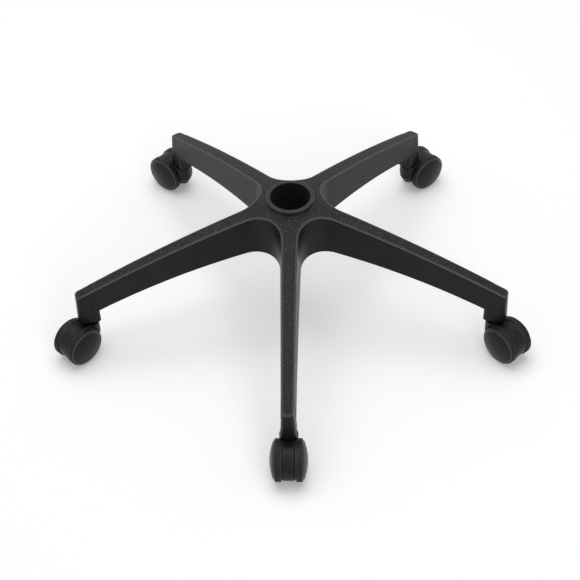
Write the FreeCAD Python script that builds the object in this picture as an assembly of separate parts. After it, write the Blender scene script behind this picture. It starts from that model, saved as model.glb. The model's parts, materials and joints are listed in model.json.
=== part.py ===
"""Office chair five star base on twin wheel casters.

Millimetres, +Z up. Heights below are above the floor; save() moves every piece so that the origin is
the centre of the gas lift bore's mouth, with the front arm along -Y.
"""
import FreeCAD
import Part
import math
import os

Vector = FreeCAD.Vector
UP = Vector(0, 0, 1)
CENTRE = Vector(0, 0, 0)

# Arms in plan
arm_count = 5
front_arm_deg = -90.0
tip_radius = 284.0
hub_half_width = 10.7
hub_width_radius = 30.0
tip_half_width = 7.5
web_radius = 42.2
side_draft_deg = 3.2

# Arms in side view: height of the top and of the lower edge at three radii
top_radii = (30.0, 150.0, 284.0)
top_heights = (173.5, 141.0, 93.5)
under_radii = (45.0, 150.0, 284.0)
under_heights = (116.0, 100.0, 59.5)

# Raised pad on the hub and arms
pad_inset = 1.4
pad_rise = 0.8

# Walls and ribs of the moulding
side_wall = 3.0
top_wall = 3.5
barrel_wall = 6.0
rib_thickness = 2.0
rib_recess = 4.0
rib_bays = 6
ribbed_from = 80.0

# Gas lift bore and its collar
bore_radius = 25.0
collar_radius = 30.3
collar_rise = 8.0
collar_depth = 10.0
collar_bevel = 0.8

# End post and stem
stem_circle_radius = 270.5
post_corner_radius = 5.0
post_end_draft_deg = 1.0
post_face_height = 50.4
post_spigot_radius = 8.0
post_bottom_height = 44.2
arm_end_inset = 5.0
stem_radius = 5.5
stem_grip_length = 23.0
stem_end_bevel = 0.8
journal_radius = 5.0
journal_length = 22.0
flange_radius = 7.2
flange_thickness = 0.5
grip_ring_thickness = 0.9
grip_ring_width = 1.5
grip_ring_down = 6.0
grip_ring_open_deg = 40.0

# Caster
wheel_radius = 26.0
trail = 24.0
turn_side_deg = 30.0
turn_back_deg = 15.0
hood_half_width = 7.6
hood_drum_radius = 24.5
hood_rim_wall = 2.5
hood_rim_bevel = 0.8
hood_web_half = 2.0
hood_skirt_height = 4.0
housing_radius = 11.4
housing_top_height = 46.2
housing_cone_height = 27.0
housing_foot_radius = 6.5
housing_foot_height = 17.0
recess_radius = 9.4
axle_radius = 3.0
axle_boss_radius = 6.5
axle_half_length = 16.0
axle_bevel = 0.5

# Wheel
wheel_inner_face = 8.2
wheel_outer_face = 22.4
wheel_tread_chamfer = 0.8
wheel_shoulder = 3.0
wheel_dome_rise = 4.4
wheel_crease_radius = 16.5
wheel_crease_half = 0.4
wheel_crease_depth = 0.5
wheel_rim_wall = 3.6
wheel_face_wall = 6.8
wheel_boss_radius = 6.5
wheel_boss_proud = 0.4
wheel_rib_count = 6
wheel_rib_thickness = 1.8
wheel_rib_drop = 2.5

# Clearances
journal_clearance = 0.05
axle_clearance = 0.05
thrust_clearance = 0.2
end_clearance = 0.6
wheel_well_clearance = 1.0
overrun = 6.0

# Places worked out from the values above
draft = math.tan(math.radians(side_draft_deg))
half_pitch = math.pi / arm_count
hub_level = top_heights[0]
collar_top_height = hub_level + collar_rise
arm_end_radius = stem_circle_radius - arm_end_inset
post_half_length = tip_radius - stem_circle_radius
post_inner_radius = stem_circle_radius - post_half_length
recess_floor_height = post_bottom_height - flange_thickness - thrust_clearance
journal_end_height = recess_floor_height - journal_length


def circle_height(radii, heights, r):
    """Height at radius r of the arc through three points of a side view."""
    (x1, x2, x3), (y1, y2, y3) = radii, heights
    d = 2 * (x1 * (y2 - y3) + x2 * (y3 - y1) + x3 * (y1 - y2))
    s1, s2, s3 = x1 * x1 + y1 * y1, x2 * x2 + y2 * y2, x3 * x3 + y3 * y3
    cx = (s1 * (y2 - y3) + s2 * (y3 - y1) + s3 * (y1 - y2)) / d
    cy = (s1 * (x3 - x2) + s2 * (x1 - x3) + s3 * (x2 - x1)) / d
    return cy + math.sqrt((x1 - cx) ** 2 + (y1 - cy) ** 2 - (r - cx) ** 2)


def top_height(r):
    return circle_height(top_radii, top_heights, r)


def under_height(r):
    return circle_height(under_radii, under_heights, r)


# The side of an arm at hub level is a straight line in plan: its slope, and its distance from the hub axis
end_width_at_hub_level = tip_half_width - (hub_level - top_height(arm_end_radius)) * draft
side_angle = math.atan((hub_half_width - end_width_at_hub_level) / (arm_end_radius - hub_width_radius))
side_offset = hub_width_radius * math.sin(side_angle) + hub_half_width * math.cos(side_angle)
fillet_centre = (web_radius - side_offset) / (1 - math.sin(half_pitch + side_angle))


def polar(r, angle, z=0.0):
    return Vector(r * math.cos(angle), r * math.sin(angle), z)


def turned(point, angle):
    c, s = math.cos(angle), math.sin(angle)
    return Vector(c * point.x - s * point.y, s * point.x + c * point.y, point.z)


def arm_angle(k):
    return math.radians(front_arm_deg) + 2 * half_pitch * k


def plan_half_width(r, z):
    """Half the arm's width at radius r and height z, on its drafted outer side."""
    at_hub_level = (side_offset - r * math.sin(side_angle)) / math.cos(side_angle)
    return at_hub_level + (hub_level - z) * draft


def star_outline(grow, z, end_radius):
    """Closed wire of the star in plan, grown outwards, with arms cut square at end_radius."""
    fillet = fillet_centre - web_radius - grow
    normal = Vector(math.sin(side_angle), math.cos(side_angle), 0)
    root = polar(fillet_centre, half_pitch) - normal * fillet
    reach = (side_offset + grow - end_radius * math.sin(side_angle)) / math.cos(side_angle)
    edges = []
    for k in range(arm_count):
        angle = arm_angle(k)
        low_root, high_root, low_tip, high_tip = [
            turned(Vector(x, y, z), angle)
            for x, y in ((root.x, -root.y), (root.x, root.y), (end_radius, -reach), (end_radius, reach))
        ]
        next_root = turned(Vector(root.x, -root.y, z), arm_angle(k + 1))
        middle = polar(web_radius + grow, angle + half_pitch, z)
        edges.append(Part.makeLine(low_root, low_tip))
        edges.append(Part.makeLine(low_tip, high_tip))
        edges.append(Part.makeLine(high_tip, high_root))
        edges.append(Part.Arc(high_root, middle, next_root).toShape())
    return Part.Wire(edges)


def star_prism(grow, low, high, end_radius=arm_end_radius):
    """The star's plan as a drafted block between two heights."""
    wires = [star_outline(grow + (hub_level - z) * draft, z, end_radius) for z in (low, high)]
    return Part.makeLoft(wires, True, True)


def revolved(points, axis=UP, base=CENTRE, degrees=360.0):
    """Solid of revolution from an outline of points; a pair of points is an arc through the first."""
    edges = []
    last = None
    for item in points:
        if isinstance(item, tuple):
            edges.append(Part.Arc(last, item[0], item[1]).toShape())
            last = item[1]
        else:
            if last is not None:
                edges.append(Part.makeLine(last, item))
            last = item
    first = points[0]
    if last.distanceToPoint(first) > 1e-9:
        edges.append(Part.makeLine(last, first))
    return Part.Face(Part.Wire(edges)).revolve(base, axis, degrees)


def side(r, z):
    """A point of a side view drawn in the XZ plane."""
    return Vector(r, 0, z)


def arched(height, r0, r1, shift=0.0):
    """Start point and arc, outwards or inwards, along one of the arms' arched lines."""
    middle = (r0 + r1) / 2
    start = side(r0, height(r0) + shift)
    return start, (side(middle, height(middle) + shift), side(r1, height(r1) + shift))


def arch_block(low_shift, high_shift):
    """All that lies between the arms' lower arch and their top, or between two lines above those."""
    far = tip_radius + overrun
    top_start, top_arc = arched(top_height, top_radii[0], far, high_shift)
    low_start, low_arc = arched(under_height, far, under_radii[0], low_shift)
    hub_low = side(0, under_heights[0] + low_shift)
    return revolved([side(0, top_start.z), top_start, top_arc, low_start, low_arc, hub_low])


def rounded_rectangle(half_length, half_width, corner, centre):
    """Closed wire of a rectangle with round corners, flat in plan."""
    x, y = half_length - corner, half_width - corner
    edges = []
    spots = ((x, y, 0), (-x, y, 90), (-x, -y, 180), (x, -y, 270))
    last = None
    for cx, cy, start in spots:
        middle = centre + Vector(cx, cy, 0)
        ends = [middle + polar(corner, math.radians(start + turn)) for turn in (0, 45, 90)]
        if last is not None:
            edges.append(Part.makeLine(last, ends[0]))
        edges.append(Part.Arc(*ends).toShape())
        last = ends[2]
    first = edges[0].Vertexes[0].Point
    edges.append(Part.makeLine(last, first))
    return Part.Wire(edges)


def end_post(inset, low, high):
    """Drafted block of one arm's end along +X, round the stem axis."""
    end_draft = math.tan(math.radians(post_end_draft_deg))
    wires = []
    for z in (low, high):
        drop = top_heights[-1] - z
        wires.append(rounded_rectangle(
            post_half_length + drop * end_draft - inset,
            tip_half_width + drop * draft - inset,
            post_corner_radius - inset,
            Vector(stem_circle_radius, 0, z)))
    return Part.makeLoft(wires, True, True)


def spigot():
    """Round foot of one arm's end post along +X, which drops into the caster's recess."""
    tall = post_face_height + overrun - post_bottom_height
    return Part.makeCylinder(
        post_spigot_radius, tall, Vector(stem_circle_radius, 0, post_bottom_height))


def outer_block():
    """The moulding's outside, with the raised pad along its top."""
    low, high = post_face_height, hub_level + overrun
    post_high = top_heights[0] / 2 + top_heights[-1] / 2
    roof = arch_block(-hub_level, 0)
    arms = star_prism(0, low, high).common(arch_block(0, 0))
    posts = on_each_arm([end_post(0, low, post_high).common(roof), spigot()])
    pad_band = arch_block(overrun, pad_rise)
    pad = star_prism(-pad_inset, low, high).common(pad_band)
    pad_ends = on_each_arm([end_post(pad_inset, low, post_high).common(pad_band)])
    return arms.fuse(posts).fuse([pad] + pad_ends)


def arm_hollow():
    """Drafted space inside one arm along +X, from the hub's hollow to the end post."""
    near, far, low = ribbed_from - overrun, post_inner_radius, post_bottom_height

    def corners(r, z):
        w = plan_half_width(r, z) - side_wall
        return [Vector(r, -w, z), Vector(r, w, z)]

    near_low, near_top = corners(near, low), corners(near, top_height(near))
    far_low, far_top = corners(far, low), corners(far, top_height(far))
    rings = (
        (near_low[0], near_low[1], near_top[1], near_top[0]),
        (far_low[0], far_low[1], far_top[1], far_top[0]),
        (near_low[0], near_low[1], far_low[1], far_low[0]),
        (near_top[0], near_top[1], far_top[1], far_top[0]),
        (near_low[0], near_top[0], far_top[0], far_low[0]),
        (near_low[1], near_top[1], far_top[1], far_low[1]),
    )
    faces = [Part.Face(Part.makePolygon(list(ring) + [ring[0]])) for ring in rings]
    return Part.Solid(Part.Shell(faces))


def arm_ribs():
    """Crossed diagonal ribs under one arm along +X, one cross in each bay."""
    bay = (post_inner_radius - ribbed_from) / rib_bays
    reach = plan_half_width(ribbed_from, post_bottom_height)
    tall = hub_level - post_bottom_height
    ribs = []
    for k in range(rib_bays):
        x0 = ribbed_from + k * bay
        half = plan_half_width(x0 + bay / 2, under_height(x0 + bay / 2)) - side_wall
        turn = math.degrees(math.atan2(2 * half, bay))
        for sign in (-1, 1):
            rib = Part.makeBox(bay * 2, rib_thickness, tall)
            rib.translate(Vector(-bay, -rib_thickness / 2, post_bottom_height))
            rib.rotate(CENTRE, UP, sign * turn)
            rib.translate(Vector(x0 + bay / 2, 0, 0))
            cell = Part.makeBox(bay, 2 * reach, tall)
            cell.translate(Vector(x0, -reach, post_bottom_height))
            ribs.append(rib.common(cell))
    return ribs


def hub_ribs():
    """Webs from the barrel to the skirt between the arms, and along each arm's root."""
    tall = hub_level - post_bottom_height
    ribs = []
    for k in range(2 * arm_count):
        rib = Part.makeBox(ribbed_from, rib_thickness, tall)
        rib.translate(Vector(0, -rib_thickness / 2, post_bottom_height))
        rib.rotate(CENTRE, UP, front_arm_deg + math.degrees(half_pitch) * k)
        ribs.append(rib)
    return ribs


def on_each_arm(shapes):
    """Copies of shapes drawn along +X, one set for each arm."""
    copies = []
    for k in range(arm_count):
        for shape in shapes:
            copy = shape.copy()
            copy.rotate(CENTRE, UP, math.degrees(arm_angle(k)))
            copies.append(copy)
    return copies


def hollow():
    """The space under the moulding: drafted walls and arched roof, less the ribs and the barrel."""
    low = post_bottom_height
    root = star_prism(-side_wall, low, hub_level, ribbed_from)
    space = root.multiFuse(on_each_arm([arm_hollow()]))
    space = space.common(arch_block(-hub_level, -top_wall))
    ribs = on_each_arm(arm_ribs()) + hub_ribs()
    band = arch_block(rib_recess, 0)
    ribs = [rib.common(band) for rib in ribs]
    barrel = Part.makeCylinder(bore_radius + barrel_wall, hub_level)
    return space.cut(ribs + [barrel])


def base_moulding():
    body = outer_block().cut(hollow())
    bore = Part.makeCylinder(bore_radius, hub_level)
    seat = Part.makeCylinder(collar_radius, collar_depth + overrun)
    seat.translate(Vector(0, 0, hub_level - collar_depth))
    socket = Part.makeCylinder(stem_radius, stem_grip_length + end_clearance)
    socket.translate(Vector(stem_circle_radius, 0, post_bottom_height))
    return body.cut([bore, seat] + on_each_arm([socket])).removeSplitter()


def hub_collar():
    low, high = hub_level - collar_depth, collar_top_height
    return revolved([
        side(bore_radius, low),
        side(collar_radius, low),
        side(collar_radius, high - collar_bevel),
        side(collar_radius - collar_bevel, high),
        side(bore_radius + collar_bevel, high),
        side(bore_radius, high - collar_bevel),
    ])


def stem():
    """Swivel pin on the stem axis, with its thrust flange and the grip ring's groove."""
    low, flange_low = journal_end_height + end_clearance, post_bottom_height - flange_thickness
    top = post_bottom_height + stem_grip_length
    groove_top = top - grip_ring_down
    groove_low = groove_top - grip_ring_width
    groove_radius = stem_radius - grip_ring_thickness
    return revolved([
        side(0, low),
        side(journal_radius - stem_end_bevel, low),
        side(journal_radius, low + stem_end_bevel),
        side(journal_radius, flange_low),
        side(flange_radius, flange_low),
        side(flange_radius, post_bottom_height),
        side(stem_radius, post_bottom_height),
        side(stem_radius, groove_low),
        side(groove_radius, groove_low),
        side(groove_radius, groove_top),
        side(stem_radius, groove_top),
        side(stem_radius, top - stem_end_bevel),
        side(stem_radius - stem_end_bevel, top),
        side(0, top),
    ])


def grip_ring():
    """Split ring in the stem's groove."""
    low = post_bottom_height + stem_grip_length - grip_ring_down - grip_ring_width
    inner = stem_radius - grip_ring_thickness
    ring = revolved([
        side(inner, low),
        side(stem_radius, low),
        side(stem_radius, low + grip_ring_width),
        side(inner, low + grip_ring_width),
    ], degrees=360.0 - grip_ring_open_deg)
    return ring


def cross_cylinder(radius, y0, y1):
    """Cylinder on the axle's line between two places across the caster."""
    return Part.makeCylinder(radius, y1 - y0, Vector(trail, y0, wheel_radius), Vector(0, 1, 0))


def bevelled(turned_shape, size):
    """The shape with its circular edges bevelled."""
    rims = [edge for edge in turned_shape.Edges if edge.Curve.TypeId == "Part::GeomCircle"]
    return turned_shape.makeChamfer(size, rims)


def hood():
    """Caster body on the stem axis, trailing along +X: drum, swivel housing, wheel wells and bores."""
    w = hood_half_width
    drum = bevelled(cross_cylinder(hood_drum_radius, -w, w), hood_rim_bevel)
    core = cross_cylinder(axle_boss_radius, -w, w)
    pocket_radius = hood_drum_radius - hood_rim_wall
    pockets = [
        cross_cylinder(pocket_radius, hood_web_half, w),
        cross_cylinder(pocket_radius, -w, -hood_web_half),
    ]
    skirt = Part.makeBox(2 * trail + 2 * wheel_radius, 4 * w, hood_skirt_height)
    skirt.translate(Vector(-wheel_radius, -2 * w, 0))
    drum = drum.cut([pocket.cut(core) for pocket in pockets] + [skirt])
    housing = revolved([
        side(0, housing_foot_height),
        side(housing_foot_radius, housing_foot_height),
        side(housing_radius, housing_cone_height),
        side(housing_radius, housing_top_height),
        side(0, housing_top_height),
    ])
    well = wheel_radius + wheel_well_clearance
    wells = [cross_cylinder(well, w, 3 * w), cross_cylinder(well, -3 * w, -w)]
    body = drum.fuse(housing).cut(wells)
    recess = Part.makeCylinder(recess_radius, 2 * wheel_radius, Vector(0, 0, recess_floor_height))
    bore = Part.makeCylinder(
        journal_radius + journal_clearance, 2 * wheel_radius, Vector(0, 0, journal_end_height))
    axle_hole = cross_cylinder(axle_radius, -2 * w, 2 * w)
    return body.cut([recess, bore, axle_hole]).removeSplitter()


def axle():
    return bevelled(cross_cylinder(axle_radius, -axle_half_length, axle_half_length), axle_bevel)


def wheel(hand):
    """One wheel on the axle's line, on the +Y side for hand 1 and on the -Y side for hand -1."""

    def at(radius, across):
        return Vector(trail + radius, hand * across, wheel_radius)

    bore = axle_radius + axle_clearance
    bore_end = axle_half_length + end_clearance
    cup = wheel_outer_face - wheel_face_wall
    rim = wheel_radius - wheel_rim_wall
    inner, outer, c = wheel_inner_face, wheel_outer_face, wheel_tread_chamfer
    shoulder = wheel_radius - wheel_shoulder
    edge = outer - wheel_dome_rise
    bulge = wheel_shoulder * (1 - math.sqrt(0.5))

    sphere = (shoulder ** 2 + wheel_dome_rise ** 2) / (2 * wheel_dome_rise)

    def dome(radius):
        return outer - sphere + math.sqrt(sphere ** 2 - radius ** 2)

    crease_out = wheel_crease_radius + wheel_crease_half
    crease_in = wheel_crease_radius - wheel_crease_half
    flank = (shoulder + crease_out) / 2
    body = revolved([
        at(0, bore_end),
        at(bore, bore_end),
        at(bore, inner - wheel_boss_proud),
        at(wheel_boss_radius, inner - wheel_boss_proud),
        at(wheel_boss_radius, cup),
        at(rim, cup),
        at(rim, inner),
        at(wheel_radius - c, inner),
        at(wheel_radius, inner + c),
        at(wheel_radius, edge - wheel_shoulder),
        (at(wheel_radius - bulge, edge - bulge), at(shoulder, edge)),
        (at(flank, dome(flank)), at(crease_out, dome(crease_out))),
        at(wheel_crease_radius, dome(wheel_crease_radius) - wheel_crease_depth),
        at(crease_in, dome(crease_in)),
        (at(crease_in / 2, dome(crease_in / 2)), at(0, outer)),
    ], axis=Vector(0, hand, 0), base=Vector(trail, 0, wheel_radius))
    ribs = []
    rib_low, rib_high = inner + wheel_rib_drop, cup + wheel_face_wall / 4
    for k in range(wheel_rib_count):
        rib = Part.makeBox(rim, rib_high - rib_low, wheel_rib_thickness)
        rib.translate(Vector(trail, rib_low, wheel_radius - wheel_rib_thickness / 2))
        if hand < 0:
            rib.translate(Vector(0, -rib_low - rib_high, 0))
        rib.rotate(Vector(trail, 0, wheel_radius), Vector(0, 1, 0), k * 360.0 / wheel_rib_count)
        ribs.append(rib)
    hole = cross_cylinder(bore, -bore_end, bore_end)
    ribs = [rib.cut(hole) for rib in ribs]
    return body.fuse(ribs).removeSplitter()


def save(node, shape):
    shape.translate(Vector(0, 0, -collar_top_height))
    shape.exportStep("parts/" + node + ".step")


def save_caster(name, k, turn_deg):
    """Place one caster's pieces at arm k, the swivelling ones turned by turn_deg from straight out."""
    pieces = {
        "stem": (stem(), 0.0),
        "grip_ring": (grip_ring(), 0.0),
        "hood": (hood(), turn_deg),
        "axle": (axle(), turn_deg),
        "wheel_left": (wheel(1), turn_deg),
        "wheel_right": (wheel(-1), turn_deg),
    }
    angle = arm_angle(k)
    for piece, (shape, turn) in pieces.items():
        shape.rotate(CENTRE, UP, math.degrees(angle) + turn)
        shape.translate(polar(stem_circle_radius, angle))
        save(name + "_" + piece, shape)


os.makedirs("parts", exist_ok=True)
save("base_moulding", base_moulding())
save("hub_collar", hub_collar())
caster_turns = {
    "caster_front": 0.0,
    "caster_right": -turn_side_deg,
    "caster_back_right": -turn_back_deg,
    "caster_back_left": turn_back_deg,
    "caster_left": turn_side_deg,
}
for number, (caster, turn) in enumerate(caster_turns.items()):
    save_caster(caster, number, turn)
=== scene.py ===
import json
import math

import bpy
from mathutils import Matrix, Vector


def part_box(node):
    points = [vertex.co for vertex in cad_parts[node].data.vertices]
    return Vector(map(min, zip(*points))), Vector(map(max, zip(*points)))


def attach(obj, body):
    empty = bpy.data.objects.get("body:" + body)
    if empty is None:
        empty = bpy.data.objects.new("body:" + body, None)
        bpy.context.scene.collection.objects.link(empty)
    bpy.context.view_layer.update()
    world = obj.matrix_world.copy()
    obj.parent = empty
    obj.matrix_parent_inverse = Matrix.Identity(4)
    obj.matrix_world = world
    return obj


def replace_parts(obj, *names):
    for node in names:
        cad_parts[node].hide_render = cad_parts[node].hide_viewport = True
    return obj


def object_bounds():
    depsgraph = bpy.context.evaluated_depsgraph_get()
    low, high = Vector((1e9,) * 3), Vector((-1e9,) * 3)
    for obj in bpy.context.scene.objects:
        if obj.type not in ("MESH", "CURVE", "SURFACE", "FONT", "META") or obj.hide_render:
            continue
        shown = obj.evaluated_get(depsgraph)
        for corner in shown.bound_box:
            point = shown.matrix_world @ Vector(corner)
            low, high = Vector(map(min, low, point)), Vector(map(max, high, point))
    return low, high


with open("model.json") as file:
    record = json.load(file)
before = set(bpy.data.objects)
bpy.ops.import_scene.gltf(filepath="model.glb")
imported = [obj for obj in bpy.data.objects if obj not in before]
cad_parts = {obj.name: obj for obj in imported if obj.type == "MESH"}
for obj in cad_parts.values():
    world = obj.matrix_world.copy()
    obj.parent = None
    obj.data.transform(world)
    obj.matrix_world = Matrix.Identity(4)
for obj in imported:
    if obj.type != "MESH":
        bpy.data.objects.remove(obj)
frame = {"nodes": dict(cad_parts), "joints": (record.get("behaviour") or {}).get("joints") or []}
cad_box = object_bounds()

bl_info = {
    "name": "Five Star Chair Base",
    "version": (1, 0, 0),
    "blender": (4, 5, 0),
    "location": "View3D > Sidebar > Star Base",
    "description": "Finishes and turned wheels for a moulded five star base on casters, and its studio",
    "category": "Object",
}

CASTERS = ("front", "right", "back_right", "back_left", "left")
HANDS = ("left", "right")

SPECULAR = 0.20
# Colour of the painted highlights on the pips of the grain
PIP_HIGHLIGHT = (0.15, 0.15, 0.152)
DUST_COLOUR = (0.11, 0.108, 0.104)
GRIME_COLOUR = (0.10, 0.097, 0.092)
# Colour of the painted highlight ring round each wheel's face disc
RIM_HIGHLIGHT = (0.075, 0.075, 0.075)

WHEEL_FACETS = 72
WELD_DISTANCE = 0.000002
SHOULDER_TURNS_DEG = (18, 36, 54, 72)
DISC_SHARES = (1.0, 0.97, 0.88, 0.75, 0.6, 0.45, 0.3, 0.15, 0.0)
SHARP_DEG = 50
SMOOTH_DEG = 35

FLOOR_FACETS = 96
SENSOR_WIDTH = 36.0


class StarLook(bpy.types.PropertyGroup):
    """Finish of the star moulding and the ring let into its hub"""

    colour: bpy.props.FloatVectorProperty(
        name="Nylon", description="Colour of the black glass filled nylon",
        default=(0.0045, 0.0045, 0.0047), subtype="COLOR", min=0, max=1)
    grain_size: bpy.props.FloatProperty(
        name="Grain Size", description="Distance between the pips of the spark eroded grain",
        default=0.0014, unit="LENGTH", precision=5)
    grain_depth: bpy.props.FloatProperty(
        name="Grain Depth", description="Depth of the grain on the upper faces",
        default=0.0005, unit="LENGTH", precision=5)
    peel_depth: bpy.props.FloatProperty(
        name="Side Texture Depth", description="Depth of the faint texture on the drawn sides",
        default=0.00004, unit="LENGTH", precision=5)
    edge_radius: bpy.props.FloatProperty(
        name="Edge Radius", description="Rounding that the mould leaves on every edge",
        default=0.0020, unit="LENGTH", precision=5)
    # This reach also bounds the painted shade that darkens the bore's wall
    bore_reach: bpy.props.FloatProperty(
        name="Bore Reach", description="Distance from the bore's axis within which faces keep a dull skin",
        default=0.0254, unit="LENGTH", precision=5)
    bore_roughness: bpy.props.FloatProperty(
        name="Bore Roughness", description="Roughness of the bore's dull skin",
        default=0.9, subtype="FACTOR", min=0, max=1)
    top_roughness: bpy.props.FloatProperty(
        name="Grained Roughness", description="Roughness of the grained upper faces",
        default=0.54, subtype="FACTOR", min=0, max=1)
    side_roughness: bpy.props.FloatProperty(
        name="Side Roughness", description="Roughness of the satin sides",
        default=0.40, subtype="FACTOR", min=0, max=1)
    ring_colour: bpy.props.FloatVectorProperty(
        name="Ring", description="Colour of the black coated steel ring",
        default=(0.0200, 0.0200, 0.0205), subtype="COLOR", min=0, max=1)
    ring_roughness: bpy.props.FloatProperty(
        name="Ring Roughness", description="Roughness of the coated ring",
        default=0.36, subtype="FACTOR", min=0, max=1)
    ring_pitch: bpy.props.FloatProperty(
        name="Turning Pitch", description="Distance between the turning marks under the ring's coating",
        default=0.0007, unit="LENGTH", precision=5)
    ring_turning_depth: bpy.props.FloatProperty(
        name="Turning Depth", description="Depth of the turning marks",
        default=0.000006, unit="LENGTH", precision=6)
    ring_grain_depth: bpy.props.FloatProperty(
        name="Ring Texture Depth", description="Depth of the coating's texture",
        default=0.00002, unit="LENGTH", precision=5)


class CasterLook(bpy.types.PropertyGroup):
    """Finish of the casters, and the shape of their wheels"""

    hood_colour: bpy.props.FloatVectorProperty(
        name="Hood", description="Colour of the hood's nylon",
        default=(0.0045, 0.0045, 0.0047), subtype="COLOR", min=0, max=1)
    hood_roughness: bpy.props.FloatProperty(
        name="Hood Roughness", description="Roughness of the satin hood",
        default=0.42, subtype="FACTOR", min=0, max=1)
    wheel_colour: bpy.props.FloatVectorProperty(
        name="Wheel", description="Colour of the wheel's nylon",
        default=(0.0045, 0.0045, 0.0047), subtype="COLOR", min=0, max=1)
    wheel_roughness: bpy.props.FloatProperty(
        name="Wheel Roughness", description="Roughness of the wheel's domed face",
        default=0.34, subtype="FACTOR", min=0, max=1)
    tread_roughness: bpy.props.FloatProperty(
        name="Tread Roughness", description="Roughness of the tread, dulled by the floor",
        default=0.55, subtype="FACTOR", min=0, max=1)
    tread_start: bpy.props.FloatProperty(
        name="Tread Start", description="Distance from the axle at which the tread begins",
        default=0.0248, unit="LENGTH", precision=5)
    tread_full: bpy.props.FloatProperty(
        name="Tread Full", description="Distance from the axle at which the tread's finish is complete",
        default=0.0257, unit="LENGTH", precision=5)
    # The rim settings place a painted highlight ring round the face disc, standing for the glint on its edge
    rim_start: bpy.props.FloatProperty(
        name="Rim Start", description="Distance from the axle at which the rubbed line round the disc begins",
        default=0.0226, unit="LENGTH", precision=5)
    rim_full: bpy.props.FloatProperty(
        name="Rim Full", description="Distance from the axle at which the rubbed line is palest",
        default=0.0236, unit="LENGTH", precision=5)
    rim_fade: bpy.props.FloatProperty(
        name="Rim Fade", description="Distance from the axle at which the rubbed line begins to fade",
        default=0.0242, unit="LENGTH", precision=5)
    rim_end: bpy.props.FloatProperty(
        name="Rim End", description="Distance from the axle at which the rubbed line has gone",
        default=0.0250, unit="LENGTH", precision=5)
    rim_share: bpy.props.FloatProperty(
        name="Rim Share", description="How far the rubbed line covers the nylon",
        default=0.7, subtype="FACTOR", min=0, max=1)
    peel_size: bpy.props.FloatProperty(
        name="Texture Size", description="Size of the fine texture on the moulded faces",
        default=0.0007, unit="LENGTH", precision=5)
    peel_depth: bpy.props.FloatProperty(
        name="Texture Depth", description="Depth of the fine texture on the moulded faces",
        default=0.00003, unit="LENGTH", precision=5)
    edge_radius: bpy.props.FloatProperty(
        name="Edge Radius", description="Rounding that the mould leaves on every edge",
        default=0.0013, unit="LENGTH", precision=5)
    dome_radius: bpy.props.FloatProperty(
        name="Dome Radius", description="Radius of the sphere that a wheel's face is part of",
        default=0.0623, unit="LENGTH", precision=5)
    disc_radius: bpy.props.FloatProperty(
        name="Disc Radius", description="Radius of the face disc on each wheel",
        default=0.0229, unit="LENGTH", precision=5)
    disc_thickness: bpy.props.FloatProperty(
        name="Disc Thickness", description="How far the face disc stands proud",
        default=0.0006, unit="LENGTH", precision=5)
    rounding: bpy.props.FloatProperty(
        name="Rounding", description="Rounding of the wheel's turned edges",
        default=0.0002, unit="LENGTH", precision=5)
    wheel_start: bpy.props.FloatProperty(
        name="Wheel Start", description="Distance from the caster's middle to the inner side of the rim",
        default=0.0091, unit="LENGTH", precision=5)
    lip_start: bpy.props.FloatProperty(
        name="Lip Start", description="Distance from the caster's middle to the lip inside the rim",
        default=0.0079, unit="LENGTH", precision=5)
    lip_radius: bpy.props.FloatProperty(
        name="Lip Radius", description="Radius of the lip inside the rim",
        default=0.0236, unit="LENGTH", precision=5)
    shoulder: bpy.props.FloatProperty(
        name="Shoulder", description="Radius of the shoulder between tread and face",
        default=0.0016, unit="LENGTH", precision=5)
    shoulder_drop: bpy.props.FloatProperty(
        name="Shoulder Drop", description="How far the shoulder lies below the face's dome",
        default=0.0005, unit="LENGTH", precision=5)
    face_wall: bpy.props.FloatProperty(
        name="Face Wall", description="Thickness of the wheel's face",
        default=0.0068, unit="LENGTH", precision=5)
    rim_wall: bpy.props.FloatProperty(
        name="Rim Wall", description="Thickness of the rim under the tread",
        default=0.0036, unit="LENGTH", precision=5)
    bore: bpy.props.FloatProperty(
        name="Bore", description="Radius of the axle bore",
        default=0.00305, unit="LENGTH", precision=5)
    bore_end: bpy.props.FloatProperty(
        name="Bore End", description="Distance from the caster's middle to the bore's blind end",
        default=0.0164, unit="LENGTH", precision=5)
    boss_radius: bpy.props.FloatProperty(
        name="Boss Radius", description="Radius of the boss round the bore",
        default=0.0065, unit="LENGTH", precision=5)
    boss_start: bpy.props.FloatProperty(
        name="Boss Start", description="Distance from the caster's middle to the boss",
        default=0.0078, unit="LENGTH", precision=5)
    rib_thickness: bpy.props.FloatProperty(
        name="Rib Thickness", description="Thickness of the ribs in the cup",
        default=0.0018, unit="LENGTH", precision=5)
    rib_drop: bpy.props.FloatProperty(
        name="Rib Drop", description="How far the ribs lie below the rim's inner side",
        default=0.0010, unit="LENGTH", precision=5)
    rib_root: bpy.props.FloatProperty(
        name="Rib Root", description="How far the ribs run into the face's wall",
        default=0.0017, unit="LENGTH", precision=5)
    rib_count: bpy.props.IntProperty(
        name="Ribs", description="Number of ribs in the cup", default=6, min=1)
    plate_colour: bpy.props.FloatVectorProperty(
        name="Zinc Plate", description="Colour of the plated stems, rings and axles",
        default=(0.56, 0.57, 0.58), subtype="COLOR", min=0, max=1)
    plate_roughness: bpy.props.FloatProperty(
        name="Plate Roughness", description="Roughness of the plating",
        default=0.30, subtype="FACTOR", min=0, max=1)
    plate_depth: bpy.props.FloatProperty(
        name="Plate Texture Depth", description="Depth of the plating's texture",
        default=0.00001, unit="LENGTH", precision=5)


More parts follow.
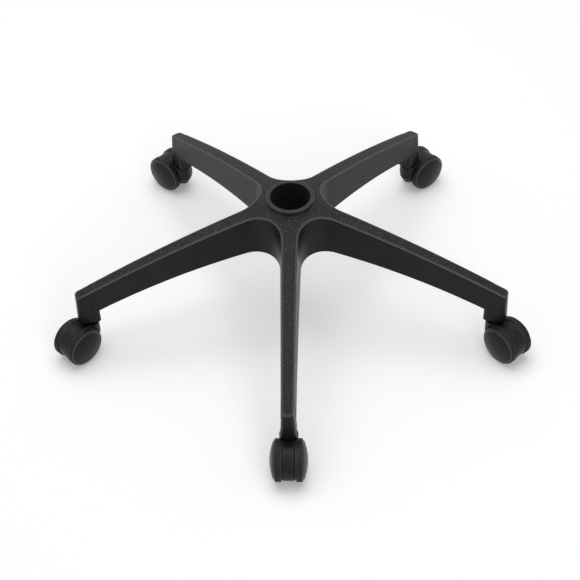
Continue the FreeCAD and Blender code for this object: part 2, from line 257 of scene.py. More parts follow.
class StageSetup(bpy.types.PropertyGroup):
    """Floor, light and camera"""

    floor_radius: bpy.props.FloatProperty(
        name="Floor Radius", description="Radius of the round studio floor", default=7.0, unit="LENGTH")
    floor_colour: bpy.props.FloatVectorProperty(
        name="Floor", description="Colour of the floor",
        default=(0.95, 0.95, 0.95), subtype="COLOR", min=0, max=1)
    floor_lift: bpy.props.FloatProperty(
        name="Floor Lift", description="White that the camera sees on top of the light on the floor",
        default=0.18, min=0)
    daylight: bpy.props.FloatProperty(
        name="Room Light", description="Strength of the light from all round", default=0.38, min=0)
    top_power: bpy.props.FloatProperty(
        name="Overhead Power", description="Power of the large overhead softbox",
        default=38.0, subtype="POWER", unit="POWER")
    top_place: bpy.props.FloatVectorProperty(
        name="Overhead Place", description="Where the overhead softbox hangs",
        default=(-0.2, 0.45, 2.4), subtype="XYZ", unit="LENGTH")
    top_aim: bpy.props.FloatVectorProperty(
        name="Overhead Aim", description="Point of the floor that the overhead softbox looks at",
        default=(-0.1, 0.3), size=2, subtype="XYZ", unit="LENGTH")
    top_width: bpy.props.FloatProperty(
        name="Overhead Width", description="Width of the overhead softbox", default=2.4, unit="LENGTH")
    front_power: bpy.props.FloatProperty(
        name="Front Power", description="Power of the softbox beside the camera",
        default=12.0, subtype="POWER", unit="POWER")
    front_place: bpy.props.FloatVectorProperty(
        name="Front Place", description="Where the softbox beside the camera stands",
        default=(0.9, -2.2, 1.5), subtype="XYZ", unit="LENGTH")
    front_width: bpy.props.FloatProperty(
        name="Front Width", description="Width of the softbox beside the camera", default=1.2, unit="LENGTH")
    distance: bpy.props.FloatProperty(
        name="Camera Distance", description="Distance from the camera to its target",
        default=2.0599, unit="LENGTH")
    elevation: bpy.props.FloatProperty(
        name="Elevation", description="Angle of the camera above the horizon",
        default=math.radians(45.17), subtype="ANGLE", unit="ROTATION")
    azimuth: bpy.props.FloatProperty(
        name="Azimuth", description="Angle of the camera round the base, from the front arm",
        default=math.radians(2.467), subtype="ANGLE", unit="ROTATION")
    roll: bpy.props.FloatProperty(
        name="Roll", description="Turn of the picture about its middle",
        default=math.radians(-1.988), subtype="ANGLE", unit="ROTATION")
    target_side: bpy.props.FloatProperty(
        name="Target Side", description="Distance of the target to the right of the bore",
        default=-0.00425, unit="LENGTH", precision=5)
    target_height: bpy.props.FloatProperty(
        name="Target Height", description="Height of the target above the floor",
        default=0.01557, unit="LENGTH", precision=5)
    lens: bpy.props.FloatProperty(
        name="Lens", description="Focal length on a sensor 36 mm wide", default=96.65, unit="CAMERA")


def feed(tree, made, sockets):
    """Gives each socket of a node a value, or the output that feeds it."""
    for key, value in dict(sockets).items():
        if isinstance(value, bpy.types.NodeSocket):
            tree.links.new(value, made.inputs[key])
        else:
            made.inputs[key].default_value = value


def put(tree, kind, sockets=(), **settings):
    """Adds a node with its settings and sockets."""
    made = tree.nodes.new(kind)
    for key, value in settings.items():
        setattr(made, key, value)
    feed(tree, made, sockets)
    return made


def calc(tree, operation, *terms):
    """Output of a Math node."""
    return put(tree, "ShaderNodeMath", enumerate(terms), operation=operation).outputs[0]


def vector(tree, operation, output, *terms):
    """Output of a Vector Math node."""
    return put(tree, "ShaderNodeVectorMath", enumerate(terms), operation=operation).outputs[output]


def ramp(tree, value, low, high, to_low=0.0, to_high=1.0):
    """A smooth step of value between low and high."""
    sockets = {"Value": value, "From Min": low, "From Max": high, "To Min": to_low, "To Max": to_high}
    return put(tree, "ShaderNodeMapRange", sockets, interpolation_type="SMOOTHSTEP").outputs["Result"]


def blend(tree, factor, first, second):
    """Colour between first and second."""
    made = put(tree, "ShaderNodeMix", {"Factor": factor}, data_type="RGBA")
    for socket, value in ((made.inputs[6], first), (made.inputs[7], second)):
        if isinstance(value, bpy.types.NodeSocket):
            tree.links.new(value, socket)
        else:
            socket.default_value = (*value, 1.0)
    return made.outputs[2]


def between(tree, factor, first, second):
    """Value between first and second."""
    return put(tree, "ShaderNodeMix", {"Factor": factor, 2: first, 3: second}).outputs[0]


def swing(tree, mask, middle, width):
    """A value that moves about its middle with a mask that runs from 0 to 1."""
    return calc(tree, "MULTIPLY_ADD", mask, width, middle - width / 2)


def group(name, inputs, outputs):
    """A new shader node group with its sockets: (tree, input node, output node)."""
    tree = bpy.data.node_groups.new(name, "ShaderNodeTree")
    for label, default in inputs:
        kind = "NodeSocketFloat" if isinstance(default, float) else "NodeSocketColor"
        tree.interface.new_socket(label, in_out="INPUT", socket_type=kind).default_value = default
    for label, kind in outputs:
        tree.interface.new_socket(label, in_out="OUTPUT", socket_type=kind)
    return tree, tree.nodes.new("NodeGroupInput"), tree.nodes.new("NodeGroupOutput")


def moulded_grain():
    """Pips of a spark eroded mould, and a mask of the faces that look up."""
    tree, given, out = group(
        "Moulded Grain", [("Size", 0.001)],
        [("Height", "NodeSocketFloat"), ("Upper", "NodeSocketFloat"), ("Tone", "NodeSocketFloat")])
    place = put(tree, "ShaderNodeTexCoord")
    pitch = calc(tree, "DIVIDE", 1.0, given.outputs["Size"])
    pips = put(tree, "ShaderNodeTexNoise",
               {"Vector": place.outputs["Object"], "Scale": pitch, "Detail": 3.0, "Roughness": 0.6})
    cells = put(tree, "ShaderNodeTexVoronoi",
                {"Vector": place.outputs["Object"], "Scale": calc(tree, "MULTIPLY", pitch, 0.9)})
    height = calc(tree, "MULTIPLY_ADD", cells.outputs["Distance"], -0.45, pips.outputs["Fac"])
    wide = calc(tree, "MULTIPLY", pitch, 0.05)
    patches = put(tree, "ShaderNodeTexNoise",
                  {"Vector": place.outputs["Object"], "Scale": wide, "Detail": 4.0})
    facing = put(tree, "ShaderNodeSeparateXYZ", {"Vector": place.outputs["Normal"]})
    tree.links.new(height, out.inputs["Height"])
    tree.links.new(ramp(tree, facing.outputs["Z"], 0.62, 0.80), out.inputs["Upper"])
    tree.links.new(patches.outputs["Fac"], out.inputs["Tone"])
    return tree


def soft_edges():
    """Normal of faces that run into each other over a small radius, a mask of the outer edges that look up,
    which take a painted highlight, and a mask of inner corners, which take a painted shade."""
    tree, given, out = group(
        "Soft Edges", [("Radius", 0.001)],
        [("Normal", "NodeSocketVector"), ("Edge", "NodeSocketFloat"), ("Corner", "NodeSocketFloat")])
    eased = put(tree, "ShaderNodeBevel", {"Radius": given.outputs["Radius"]}, samples=8)
    true = put(tree, "ShaderNodeNewGeometry")
    alike = vector(tree, "DOT_PRODUCT", "Value", eased.outputs["Normal"], true.outputs["Normal"])
    # Ambient occlusion finds the inner corners that take the painted shade
    shut = put(tree, "ShaderNodeAmbientOcclusion",
               {"Distance": calc(tree, "MULTIPLY", given.outputs["Radius"], 3.0)}, samples=8, only_local=True)
    corner = ramp(tree, shut.outputs["AO"], 0.95, 0.6)
    bent = ramp(tree, calc(tree, "SUBTRACT", 1.0, alike), 0.02, 0.09)
    tree.links.new(eased.outputs["Normal"], out.inputs["Normal"])
    facing = put(tree, "ShaderNodeSeparateXYZ", {"Vector": eased.outputs["Normal"]})
    # Only edges that look up take the painted highlight, as if lit from overhead
    bent = calc(tree, "MULTIPLY", bent, ramp(tree, facing.outputs["Z"], 0.05, 0.45))
    tree.links.new(calc(tree, "MULTIPLY", bent, calc(tree, "SUBTRACT", 1.0, corner)), out.inputs["Edge"])
    tree.links.new(corner, out.inputs["Corner"])
    return tree


def handling_marks():
    """Hairline scuffs from handling, and a thin film of dust on the faces that look up."""
    tree, given, out = group(
        "Handling Marks", [("Scuff Length", 0.02)],
        [("Scuffs", "NodeSocketFloat"), ("Dust", "NodeSocketFloat")])
    place = put(tree, "ShaderNodeTexCoord")
    reach = calc(tree, "DIVIDE", 1.0, given.outputs["Scuff Length"])
    lines = []
    for turn in (0.4, 1.9, 2.7):
        tilt = (turn * 0.4, turn * 0.3, turn)
        laid = put(tree, "ShaderNodeMapping",
                   {"Vector": place.outputs["Object"], "Rotation": tilt, "Scale": (1, 30, 30)})
        streak = put(tree, "ShaderNodeTexNoise",
                     {"Vector": laid.outputs["Vector"], "Scale": reach, "Detail": 2.0, "Roughness": 0.7})
        lines.append(ramp(tree, streak.outputs["Fac"], 0.66, 0.74))
    scuffs = calc(tree, "MAXIMUM", calc(tree, "MAXIMUM", lines[0], lines[1]), lines[2])
    film = put(tree, "ShaderNodeTexNoise",
               {"Vector": place.outputs["Object"], "Scale": 55.0, "Detail": 6.0, "Roughness": 0.65})
    facing = put(tree, "ShaderNodeSeparateXYZ", {"Vector": place.outputs["Normal"]})
    level = ramp(tree, facing.outputs["Z"], 0.2, 0.95)
    lying = calc(tree, "MULTIPLY", level, ramp(tree, film.outputs["Fac"], 0.42, 0.72))
    tree.links.new(scuffs, out.inputs["Scuffs"])
    tree.links.new(lying, out.inputs["Dust"])
    return tree


def bore_skin():
    """A mask of the wall of the gas lift bore, and the distance from the bore's axis."""
    tree, given, out = group(
        "Bore Skin", [("Reach", 0.025)], [("Bore", "NodeSocketFloat"), ("Radius", "NodeSocketFloat")])
    place = put(tree, "ShaderNodeTexCoord")
    flat = vector(tree, "MULTIPLY", "Vector", place.outputs["Object"], (1.0, 1.0, 0.0))
    radius = vector(tree, "LENGTH", "Value", flat)
    fade = calc(tree, "ADD", given.outputs["Reach"], 0.0004)
    tree.links.new(ramp(tree, radius, fade, given.outputs["Reach"]), out.inputs["Bore"])
    tree.links.new(radius, out.inputs["Radius"])
    return tree


def nylon_shell():
    """Colour of a moulded face: black nylon, a little uneven, with painted highlights on the pips of its
    upper grain and on its upper edges, paler where a nail has scuffed it and where dust lies, and with
    painted shade in the corners and in the bore."""
    # The first two amounts set the strength of the painted highlights on pips and edges; Film sets the dust
    amounts = [("Pips", 0.0), ("Rub", 0.07), ("Film", 0.05)]
    masks = ("Tone", "Height", "Upper", "Edge", "Corner", "Scuffs", "Dust", "Bore")
    black = ("Colour", (0.005, 0.005, 0.005, 1.0))
    tree, given, out = group(
        "Nylon Shell", [black, *amounts, *((mask, 0.0) for mask in masks)], [("Colour", "NodeSocketColor")])
    at = given.outputs

    def tint(times):
        scaled = put(tree, "ShaderNodeVectorMath", {0: at["Colour"], "Scale": times}, operation="SCALE")
        return scaled.outputs["Vector"]

    uneven = blend(tree, ramp(tree, at["Tone"], 0.3, 0.7), tint(0.75), tint(1.3))
    # Painted highlight: the pips of the grain on upper faces are made paler, standing for glints of the
    # overhead light
    pip_highlights = calc(tree, "MULTIPLY", ramp(tree, at["Height"], 0.38, 0.54, 0.0, at["Pips"]), at["Upper"])
    pips_highlit = blend(tree, pip_highlights, uneven, PIP_HIGHLIGHT)
    # Painted shade: inner corners are darkened to a third of the nylon's colour
    corner_shaded = blend(tree, at["Corner"], pips_highlit, tint(0.3))
    # Painted highlight: outer edges that look up are made paler, standing for the glint on their rounding
    painted_highlight = blend(tree, at["Edge"], corner_shaded, at["Rub"])
    scuffed = blend(tree, calc(tree, "MULTIPLY", at["Scuffs"], 0.35), painted_highlight, tint(3.0))
    # Painted shade: the bore's wall is darkened to a tenth of the nylon's colour
    bore_shaded = blend(tree, at["Bore"], scuffed, tint(0.1))
    dusty = blend(tree, calc(tree, "MULTIPLY", at["Dust"], at["Film"]), bore_shaded, DUST_COLOUR)
    tree.links.new(dusty, out.inputs["Colour"])
    return tree


def use(tree, name, make, sockets=()):
    """A shared group placed in a material, and made the first time it is asked for."""
    return put(tree, "ShaderNodeGroup", sockets, node_tree=bpy.data.node_groups.get(name) or make())


def finish_of(name):
    """A new material with its Principled shader: (material, tree, shader)."""
    finish = bpy.data.materials.new(name)
    finish.use_nodes = True
    tree = finish.node_tree
    tree.nodes.clear()
    shader = tree.nodes.new("ShaderNodeBsdfPrincipled")
    shader.inputs["Specular IOR Level"].default_value = SPECULAR
    out = tree.nodes.new("ShaderNodeOutputMaterial")
    tree.links.new(shader.outputs["BSDF"], out.inputs["Surface"])
    return finish, tree, shader


def paint(names, finish):
    """Gives every material slot of the named CAD nodes the finish."""
    for name in names:
        for slot in frame["nodes"][name].material_slots:
            slot.material = finish


def lighter(colour, times):
    """A colour made lighter or darker."""
    return tuple(min(1.0, part * times) for part in colour)


def on_axle(caster):
    """The middle of a caster's axle, and the axle's direction."""
    spin = next(joint for joint in frame["joints"] if joint["name"] == f"caster_{caster}_wheel_left_spin")
    return Vector(spin["pos_m"]), Vector(spin["axis"]).normalized()


def of_casters(*pieces):
    """Names of the casters' nodes of those kinds."""
    return [f"caster_{caster}_{piece}" for caster in CASTERS for piece in pieces]


def nylon(tree, colour, grain, edges, marks, **amounts):
    """Colour of a moulded face, through the shared shell."""
    masks = {
        label: source.outputs[label]
        for source, labels in (
            (grain, ("Tone", "Height", "Upper")), (edges, ("Edge", "Corner")), (marks, ("Scuffs", "Dust")))
        for label in labels
    }
    shell = use(tree, "Nylon Shell", nylon_shell, {"Colour": (*colour, 1.0), **masks, **amounts})
    return shell.outputs["Colour"]


def emboss(tree, shader, edges, height):
    """Raises a surface by a height in metres, over its softened edges."""
    bump = put(tree, "ShaderNodeBump",
               {"Strength": 1.0, "Distance": 1.0, "Height": height, "Normal": edges.outputs["Normal"]})
    tree.links.new(bump.outputs["Normal"], shader.inputs["Normal"])


class STARBASE_OT_finish_star(bpy.types.Operator):
    """Black nylon with grained upper faces and satin sides on the star moulding"""

    bl_idname = "starbase.finish_star"
    bl_label = "Finish Star"

    def execute(self, context):
        look = context.scene.star_look
        finish, tree, shader = finish_of("star_nylon_grained")
        grain = use(tree, "Moulded Grain", moulded_grain, {"Size": look.grain_size})
        edges = use(tree, "Soft Edges", soft_edges, {"Radius": look.edge_radius})
        marks = use(tree, "Handling Marks", handling_marks, {"Scuff Length": 0.03})
        bore = use(tree, "Bore Skin", bore_skin, {"Reach": look.bore_reach}).outputs["Bore"]
        # Pips and the edge amount are painted highlights, Bore is a painted shade, Film is dust
        shell = nylon(tree, look.colour, grain, edges, marks, Film=0.03, Pips=0.8, Rub=0.17, Bore=bore)
        tree.links.new(shell, shader.inputs["Base Color"])
        upper = grain.outputs["Upper"]
        smooth = swing(tree, grain.outputs["Tone"], look.side_roughness, 0.10)
        grained = swing(tree, grain.outputs["Height"], look.top_roughness, 0.12)
        dull = between(tree, bore, between(tree, upper, smooth, grained), look.bore_roughness)
        tree.links.new(dull, shader.inputs["Roughness"])
        depth = ramp(tree, upper, 0.0, 1.0, look.peel_depth, look.grain_depth)
        emboss(tree, shader, edges, calc(tree, "MULTIPLY", grain.outputs["Height"], depth))
        paint(["base_moulding"], finish)
        return {"FINISHED"}


class STARBASE_OT_finish_ring(bpy.types.Operator):
    """Black coated steel on the ring let into the hub, with turning marks showing through"""

    bl_idname = "starbase.finish_ring"
    bl_label = "Finish Hub Ring"

    def execute(self, context):
        look = context.scene.star_look
        finish, tree, shader = finish_of("ring_coated_steel")
        edges = use(tree, "Soft Edges", soft_edges, {"Radius": look.edge_radius})
        marks = use(tree, "Handling Marks", handling_marks, {"Scuff Length": 0.015})
        grain = use(tree, "Moulded Grain", moulded_grain, {"Size": 0.0006})
        bore = use(tree, "Bore Skin", bore_skin, {"Reach": look.bore_reach})
        skin = bore.outputs["Bore"]
        # Pips and the edge amount are painted highlights, Bore is a painted shade
        shell = nylon(tree, look.ring_colour, grain, edges, marks, Pips=0.2, Rub=0.12, Bore=skin)
        tree.links.new(shell, shader.inputs["Base Color"])
        waves = calc(tree, "MULTIPLY", bore.outputs["Radius"], 2 * math.pi / look.ring_pitch)
        turns = calc(tree, "SINE", waves)
        rough = calc(tree, "MULTIPLY_ADD", turns, 0.04, look.ring_roughness)
        turned = calc(tree, "MULTIPLY_ADD", grain.outputs["Tone"], 0.08, rough)
        tree.links.new(between(tree, skin, turned, look.bore_roughness), shader.inputs["Roughness"])
        coating = calc(tree, "MULTIPLY", grain.outputs["Height"], look.ring_grain_depth)
        emboss(tree, shader, edges, calc(tree, "MULTIPLY_ADD", turns, look.ring_turning_depth, coating))
        paint(["hub_collar"], finish)
        return {"FINISHED"}


class STARBASE_OT_finish_hoods(bpy.types.Operator):
    """Satin black nylon on the caster hoods"""

    bl_idname = "starbase.finish_hoods"
    bl_label = "Finish Hoods"

    def execute(self, context):
        look = context.scene.caster_look
        finish, tree, shader = finish_of("hood_nylon_satin")
        grain = use(tree, "Moulded Grain", moulded_grain, {"Size": look.peel_size})
        edges = use(tree, "Soft Edges", soft_edges, {"Radius": look.edge_radius})
        marks = use(tree, "Handling Marks", handling_marks, {"Scuff Length": 0.01})
        # The edge amount is a painted highlight; Film is dust
        shell = nylon(tree, look.hood_colour, grain, edges, marks, Film=0.06, Rub=0.03)
        tree.links.new(shell, shader.inputs["Base Color"])
        satin = swing(tree, grain.outputs["Tone"], look.hood_roughness, 0.12)
        tree.links.new(satin, shader.inputs["Roughness"])
        emboss(tree, shader, edges, calc(tree, "MULTIPLY", grain.outputs["Height"], look.peel_depth))
        paint(of_casters("hood"), finish)
        return {"FINISHED"}


def wheel_finish(look, name, middle, axis):
    """Nylon of one caster's wheels: satin domed faces, a painted highlight ring round the face disc, and a
    tread dulled and dusted by the floor.
    """
    finish, tree, shader = finish_of(name)
    grain = use(tree, "Moulded Grain", moulded_grain, {"Size": look.peel_size})
    edges = use(tree, "Soft Edges", soft_edges, {"Radius": look.edge_radius})
    marks = use(tree, "Handling Marks", handling_marks, {"Scuff Length": 0.008})
    place = put(tree, "ShaderNodeTexCoord")
    arm = vector(tree, "SUBTRACT", "Vector", place.outputs["Object"], middle)
    along = vector(tree, "DOT_PRODUCT", "Value", arm, axis)
    offset = put(tree, "ShaderNodeVectorMath", {0: axis, "Scale": along}, operation="SCALE").outputs["Vector"]
    radius = vector(tree, "LENGTH", "Value", vector(tree, "SUBTRACT", "Vector", arm, offset))
    tread = ramp(tree, radius, look.tread_start, look.tread_full)
    # The edge amount is a painted highlight; Film is dust
    shell = nylon(tree, look.wheel_colour, grain, edges, marks, Film=0.04, Rub=0.11)
    # Painted highlight: a ring round the face disc is made paler all the way round
    rim = calc(tree, "MULTIPLY", ramp(tree, radius, look.rim_start, look.rim_full),
               ramp(tree, radius, look.rim_end, look.rim_fade))
    painted_highlight = blend(tree, calc(tree, "MULTIPLY", rim, look.rim_share), shell, RIM_HIGHLIGHT)
    grime = calc(tree, "MULTIPLY", tread, ramp(tree, grain.outputs["Tone"], 0.35, 0.75, 0.02, 0.12))
    tree.links.new(blend(tree, grime, painted_highlight, GRIME_COLOUR), shader.inputs["Base Color"])
    face = swing(tree, grain.outputs["Tone"], look.wheel_roughness, 0.12)
    worn = calc(tree, "MULTIPLY_ADD", marks.outputs["Scuffs"], 0.1, look.tread_roughness)
    tree.links.new(between(tree, tread, face, worn), shader.inputs["Roughness"])
    emboss(tree, shader, edges, calc(tree, "MULTIPLY", grain.outputs["Height"], look.peel_depth))
    return finish


def turned_profile(look, reach, tread):
    """Half section of a wheel as (distance from the axle, distance from the middle of its caster): blind
    bore and boss, cup, rim with a lip that closes the gap beside the hood, tread, rounded shoulder, and a
    domed face disc that stands proud of the shoulder."""

    def dome(radius):
        return reach - look.dome_radius + math.sqrt(look.dome_radius ** 2 - radius ** 2)

    cup = reach - look.face_wall
    rim = tread - look.rim_wall
    inner = look.wheel_start
    corner = tread - look.shoulder
    level = dome(corner) - look.shoulder_drop
    bend = level - look.shoulder
    return [
        (0.0, look.bore_end), (look.bore, look.bore_end), (look.bore, look.boss_start),
        (look.boss_radius, look.boss_start), (look.boss_radius, cup), (rim, cup), (rim, look.lip_start),
        (look.lip_radius, look.lip_start), (look.lip_radius, inner), (tread, inner), (tread, bend),
        *((corner + look.shoulder * math.cos(turn), bend + look.shoulder * math.sin(turn))
          for turn in map(math.radians, SHOULDER_TURNS_DEG)),
        (corner, level), (look.disc_radius, dome(look.disc_radius)),
        *((look.disc_radius * share, dome(look.disc_radius * share) + look.disc_thickness)
          for share in DISC_SHARES),
    ]


def turned_wheel(look, reach, tread):
    """One wheel on the Z axis, looking out along Z from the middle of its caster."""
    profile = turned_profile(look, reach, tread)
    bpy.ops.object.select_all(action="DESELECT")
    bpy.ops.mesh.primitive_plane_add(size=0.001)
    wheel = bpy.context.object
    bpy.ops.object.mode_set(mode="EDIT")
    bpy.ops.mesh.select_mode(type="VERT")
    bpy.ops.mesh.select_all(action="SELECT")
    bpy.ops.mesh.merge(type="CENTER")
    bpy.ops.transform.translate(value=(profile[0][0], 0, profile[0][1]))
    for (radius, across), (next_radius, next_across) in zip(profile, profile[1:]):
        step = (next_radius - radius, 0, next_across - across)
        bpy.ops.mesh.extrude_region_move(TRANSFORM_OT_translate={"value": step})
    bpy.ops.mesh.select_all(action="SELECT")
    bpy.ops.mesh.spin(steps=WHEEL_FACETS, angle=2 * math.pi, center=(0, 0, 0), axis=(0, 0, 1))
    bpy.ops.mesh.select_all(action="SELECT")
    bpy.ops.mesh.remove_doubles(threshold=WELD_DISTANCE)
    bpy.ops.mesh.normals_make_consistent(inside=False)
    bpy.ops.object.mode_set(mode="OBJECT")
    rounding = wheel.modifiers.new("Rounding", "BEVEL")
    rounding.width = look.rounding
    rounding.segments = 2
    rounding.limit_method = "ANGLE"
    rounding.angle_limit = math.radians(SHARP_DEG)
    bpy.ops.object.modifier_apply(modifier="Rounding")

    # Each rib starts inside the boss's wall and ends inside the rim's
    low = look.wheel_start + look.rib_drop
    high = reach - look.face_wall + look.rib_root
    start = (look.bore + look.boss_radius) / 2
    end = tread - look.rim_wall / 2
    middle = (start + end) / 2
    for number in range(look.rib_count):
        turn = number * 2 * math.pi / look.rib_count
        bpy.ops.mesh.primitive_cube_add(
            size=1, location=(middle * math.cos(turn), middle * math.sin(turn), (low + high) / 2),
            rotation=(0, 0, turn), scale=(end - start, look.rib_thickness, high - low))
        rib = bpy.context.object
        bpy.context.view_layer.objects.active = wheel
        union = wheel.modifiers.new("Rib", "BOOLEAN")
        union.operation = "UNION"
        union.solver = "EXACT"
        union.object = rib
        bpy.ops.object.modifier_apply(modifier="Rib")
        bpy.data.objects.remove(rib)
    bpy.ops.object.select_all(action="DESELECT")
    wheel.select_set(True)
    bpy.ops.object.shade_smooth_by_angle(angle=math.radians(SMOOTH_DEG))
    return wheel


def place_wheel(pattern, node, middle, outward, finish):
    """A copy of the pattern where a CAD wheel is, which it stands for."""
    bpy.ops.object.select_all(action="DESELECT")
    pattern.select_set(True)
    bpy.context.view_layer.objects.active = pattern
    bpy.ops.object.duplicate(linked=False)
    wheel = bpy.context.object
    wheel.name = f"{node}_turned"
    turn = outward.to_track_quat("Z", "Y").to_matrix().to_4x4()
    wheel.matrix_world = Matrix.Translation(middle) @ turn
    bpy.ops.object.transform_apply(location=True, rotation=True, scale=True)
    wheel.data.materials.append(finish)
    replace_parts(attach(wheel, node), node)


class STARBASE_OT_model_wheels(bpy.types.Operator):
    """Turned wheels with a dark gap beside the hood and a face disc, in place of the plain ones"""

    bl_idname = "starbase.model_wheels"
    bl_label = "Model Wheels"

    def execute(self, context):
        look = context.scene.caster_look
        middle, _ = on_axle("front")
        low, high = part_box("caster_front_wheel_left")
        reach = max(abs(low.x - middle.x), abs(high.x - middle.x))
        pattern = turned_wheel(look, reach, high.z - middle.z)
        for caster in CASTERS:
            middle, axis = on_axle(caster)
            finish = wheel_finish(look, f"wheel_nylon_{caster}", tuple(middle), tuple(axis))
            for hand in HANDS:
                node = f"caster_{caster}_wheel_{hand}"
                low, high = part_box(node)
                outward = axis if ((low + high) / 2 - middle).dot(axis) > 0 else -axis
                place_wheel(pattern, node, middle, outward, finish)
        bpy.data.objects.remove(pattern)
        return {"FINISHED"}


class STARBASE_OT_finish_steel(bpy.types.Operator):
    """Zinc plate on the stems, grip rings and axles"""

    bl_idname = "starbase.finish_steel"
    bl_label = "Finish Plated Steel"

    def execute(self, context):
        look = context.scene.caster_look
        finish, tree, shader = finish_of("stem_zinc_plate")
        grain = use(tree, "Moulded Grain", moulded_grain, {"Size": 0.0004})
        edges = use(tree, "Soft Edges", soft_edges, {"Radius": 0.0003})
        marks = use(tree, "Handling Marks", handling_marks, {"Scuff Length": 0.006})
        dim, plate, bright = (lighter(look.plate_colour, times) for times in (0.6, 0.85, 1.1))
        clouded = blend(tree, grain.outputs["Tone"], plate, bright)
        scuffed = blend(tree, calc(tree, "MULTIPLY", marks.outputs["Scuffs"], 0.4), clouded, dim)
        tree.links.new(scuffed, shader.inputs["Base Color"])
        shader.inputs["Metallic"].default_value = 1.0
        satin = swing(tree, grain.outputs["Tone"], look.plate_roughness, 0.2)
        tree.links.new(satin, shader.inputs["Roughness"])
        emboss(tree, shader, edges, calc(tree, "MULTIPLY", grain.outputs["Height"], look.plate_depth))
        paint(of_casters("stem", "grip_ring", "axle"), finish)
        return {"FINISHED"}


def seen_rays(tree):
    """1 for what the camera, a reflection or a glass sees, and 0 for the light itself."""
    ray = put(tree, "ShaderNodeLightPath")
    seen = calc(tree, "MAXIMUM", ray.outputs["Is Camera Ray"], ray.outputs["Is Glossy Ray"])
    return calc(tree, "MAXIMUM", seen, ray.outputs["Is Transmission Ray"])


def softbox(name, place, aim, width, power):
    """A square area lamp that looks at a point."""
    bpy.ops.object.light_add(type="AREA", location=place)
    lamp = bpy.context.object
    lamp.name = name
    lamp.rotation_euler = (Vector(aim) - Vector(place)).to_track_quat("-Z", "Y").to_euler()
    lamp.data.size = width
    lamp.data.energy = power
    return lamp


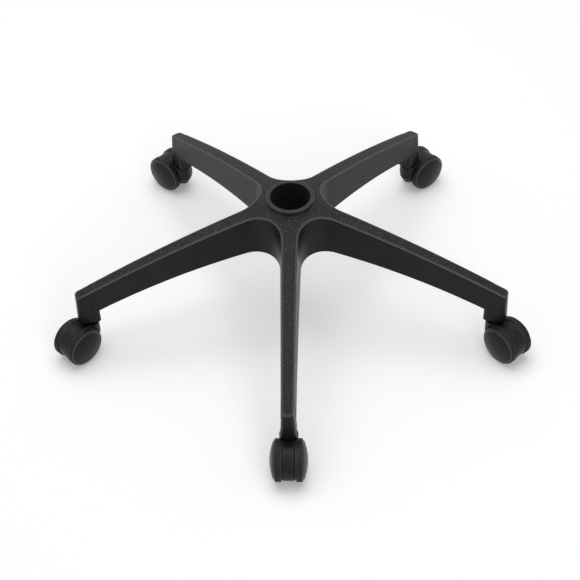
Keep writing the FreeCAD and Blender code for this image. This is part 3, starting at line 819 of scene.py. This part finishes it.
class STARBASE_OT_set_stage(bpy.types.Operator):
    """Pale floor, soft studio light and a camera at the photograph's angle"""

    bl_idname = "starbase.set_stage"
    bl_label = "Set Stage"

    def execute(self, context):
        setup = context.scene.star_stage
        ground = cad_box[0][2]
        bpy.ops.object.select_all(action="DESELECT")
        bpy.ops.mesh.primitive_circle_add(
            vertices=FLOOR_FACETS, radius=setup.floor_radius, fill_type="NGON", location=(0, 0, ground))
        floor = context.object
        floor.name = "studio_floor"
        finish, tree, shader = finish_of("floor_pale")
        place = put(tree, "ShaderNodeTexCoord")
        paper = put(tree, "ShaderNodeTexNoise",
                    {"Vector": place.outputs["Object"], "Scale": 3.0, "Detail": 3.0})
        clouded = blend(tree, paper.outputs["Fac"], lighter(setup.floor_colour, 0.995), setup.floor_colour)
        tree.links.new(clouded, shader.inputs["Base Color"])
        shader.inputs["Roughness"].default_value = 0.9
        shader.inputs["Specular IOR Level"].default_value = 0.1
        shader.inputs["Emission Color"].default_value = (1, 1, 1, 1)
        lift = calc(tree, "MULTIPLY", seen_rays(tree), setup.floor_lift)
        tree.links.new(lift, shader.inputs["Emission Strength"])
        floor.data.materials.append(finish)

        softbox("overhead", setup.top_place, (*setup.top_aim, ground), setup.top_width, setup.top_power)
        softbox("beside_camera", setup.front_place, (0, 0, ground), setup.front_width, setup.front_power)

        world = bpy.data.worlds.new("studio")
        context.scene.world = world
        world.use_nodes = True
        tree = world.node_tree
        tree.nodes.clear()
        room = put(tree, "ShaderNodeBackground", {"Color": (1, 1, 1, 1), "Strength": setup.daylight})
        white = put(tree, "ShaderNodeBackground", {"Color": (1, 1, 1, 1), "Strength": 1.0})
        mixed = put(tree, "ShaderNodeMixShader",
                    {0: seen_rays(tree), 1: room.outputs[0], 2: white.outputs[0]})
        out = tree.nodes.new("ShaderNodeOutputWorld")
        tree.links.new(mixed.outputs[0], out.inputs["Surface"])

        turn, rise, roll = setup.azimuth, setup.elevation, setup.roll
        back = Vector((math.sin(turn) * math.cos(rise), -math.cos(turn) * math.cos(rise), math.sin(rise)))
        right = Vector((math.cos(turn), math.sin(turn), 0.0))
        up = right.cross(-back)
        target = right * setup.target_side + Vector((0, 0, ground + setup.target_height))
        across = right * math.cos(roll) + up * math.sin(roll)
        upward = up * math.cos(roll) - right * math.sin(roll)
        bpy.ops.object.camera_add()
        camera = context.object
        camera.name = "photo_camera"
        camera.matrix_world = Matrix.Translation(target + back * setup.distance) @ Matrix(
            (across, upward, back)).transposed().to_4x4()
        camera.data.sensor_fit = "HORIZONTAL"
        camera.data.sensor_width = SENSOR_WIDTH
        camera.data.lens = setup.lens
        context.scene.camera = camera
        context.scene.view_settings.view_transform = "Standard"
        return {"FINISHED"}


class STARBASE_PT_panel(bpy.types.Panel):
    """Lists the finishes, the wheels and the stage"""

    bl_label = "Star Base"
    bl_idname = "STARBASE_PT_panel"
    bl_space_type = "VIEW_3D"
    bl_region_type = "UI"
    bl_category = "Star Base"

    def draw(self, context):
        for settings, steps in (
            (context.scene.star_look, (STARBASE_OT_finish_star, STARBASE_OT_finish_ring)),
            (context.scene.caster_look,
             (STARBASE_OT_finish_hoods, STARBASE_OT_model_wheels, STARBASE_OT_finish_steel)),
            (context.scene.star_stage, (STARBASE_OT_set_stage,)),
        ):
            box = self.layout.box()
            for key in settings.bl_rna.properties.keys():
                if key not in ("rna_type", "name"):
                    box.prop(settings, key)
            for step in steps:
                box.operator(step.bl_idname)


CLASSES = (
    StarLook, CasterLook, StageSetup,
    STARBASE_OT_finish_star, STARBASE_OT_finish_ring, STARBASE_OT_finish_hoods, STARBASE_OT_model_wheels,
    STARBASE_OT_finish_steel, STARBASE_OT_set_stage, STARBASE_PT_panel,
)


def register():
    for cls in CLASSES:
        bpy.utils.register_class(cls)
    bpy.types.Scene.star_look = bpy.props.PointerProperty(type=StarLook)
    bpy.types.Scene.caster_look = bpy.props.PointerProperty(type=CasterLook)
    bpy.types.Scene.star_stage = bpy.props.PointerProperty(type=StageSetup)


def unregister():
    del bpy.types.Scene.star_stage
    del bpy.types.Scene.caster_look
    del bpy.types.Scene.star_look
    for cls in reversed(CLASSES):
        bpy.utils.unregister_class(cls)


def main():
    register()
    bpy.ops.starbase.finish_star()
    bpy.ops.starbase.finish_ring()
    bpy.ops.starbase.finish_hoods()
    bpy.ops.starbase.model_wheels()
    bpy.ops.starbase.finish_steel()
    bpy.ops.starbase.set_stage()


if __name__ == "__main__":
    main()
